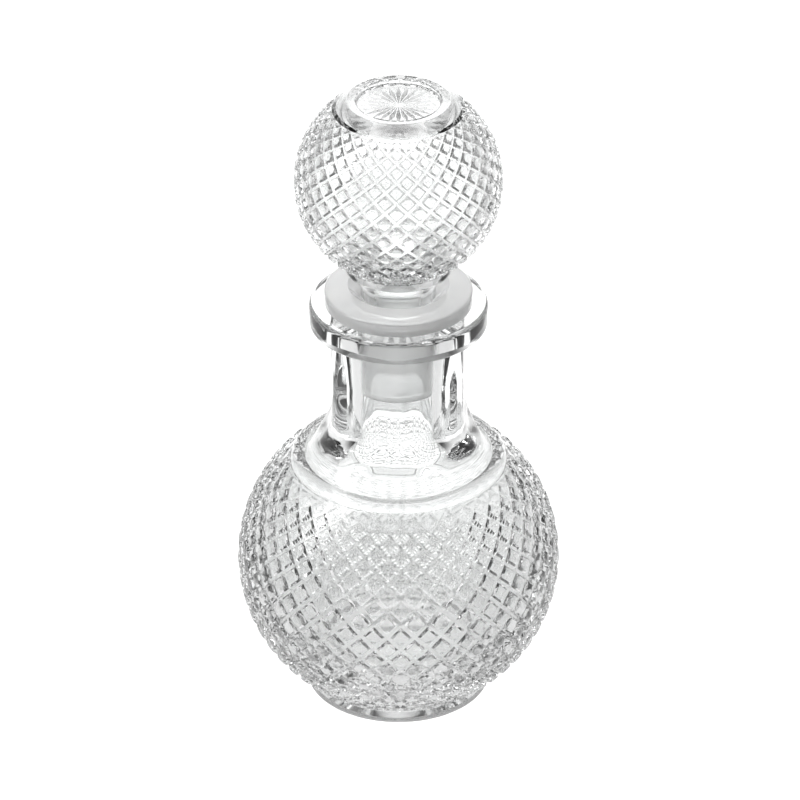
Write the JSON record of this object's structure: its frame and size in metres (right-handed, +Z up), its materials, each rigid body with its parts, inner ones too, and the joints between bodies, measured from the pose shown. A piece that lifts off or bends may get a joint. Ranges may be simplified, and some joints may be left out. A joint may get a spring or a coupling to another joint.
{
  "type": "stoppered glass bottle",
  "caption": "Round glass bottle with a diamond-cut globe, a faceted neck and a hollow ball stopper that lifts out in its soft sealing collar.",
  "frame": {"origin": "middle of the foot, on the surface that the bottle stands on", "axes": "+Z up along the bottle's axis towards the stopper; the front of the picture faces -Y, +X to its right"},
  "size_m": [0.0949, 0.0948, 0.1946],
  "materials": {
    "bottle_glass": "clear, polished",
    "collar_plastic": "translucent, satin",
    "stopper_glass": "clear, polished"
  },
  "bodies": {
    "bottle": {"bottle": "bottle_glass"},
    "collar": {"sealing_collar": "collar_plastic"},
    "stopper": {"stopper": "stopper_glass"}
  },
  "joints": [
    {"name": "lift_out", "type": "slide", "parent": "bottle", "child": "collar", "axis": [0, 0, 1], "range_m": [0, 0.045]},
    {"name": "twist", "type": "hinge", "parent": "collar", "child": "stopper", "pos_m": [0, 0, 0.133], "axis": [0, 0, 1], "continuous": true}
  ]
}
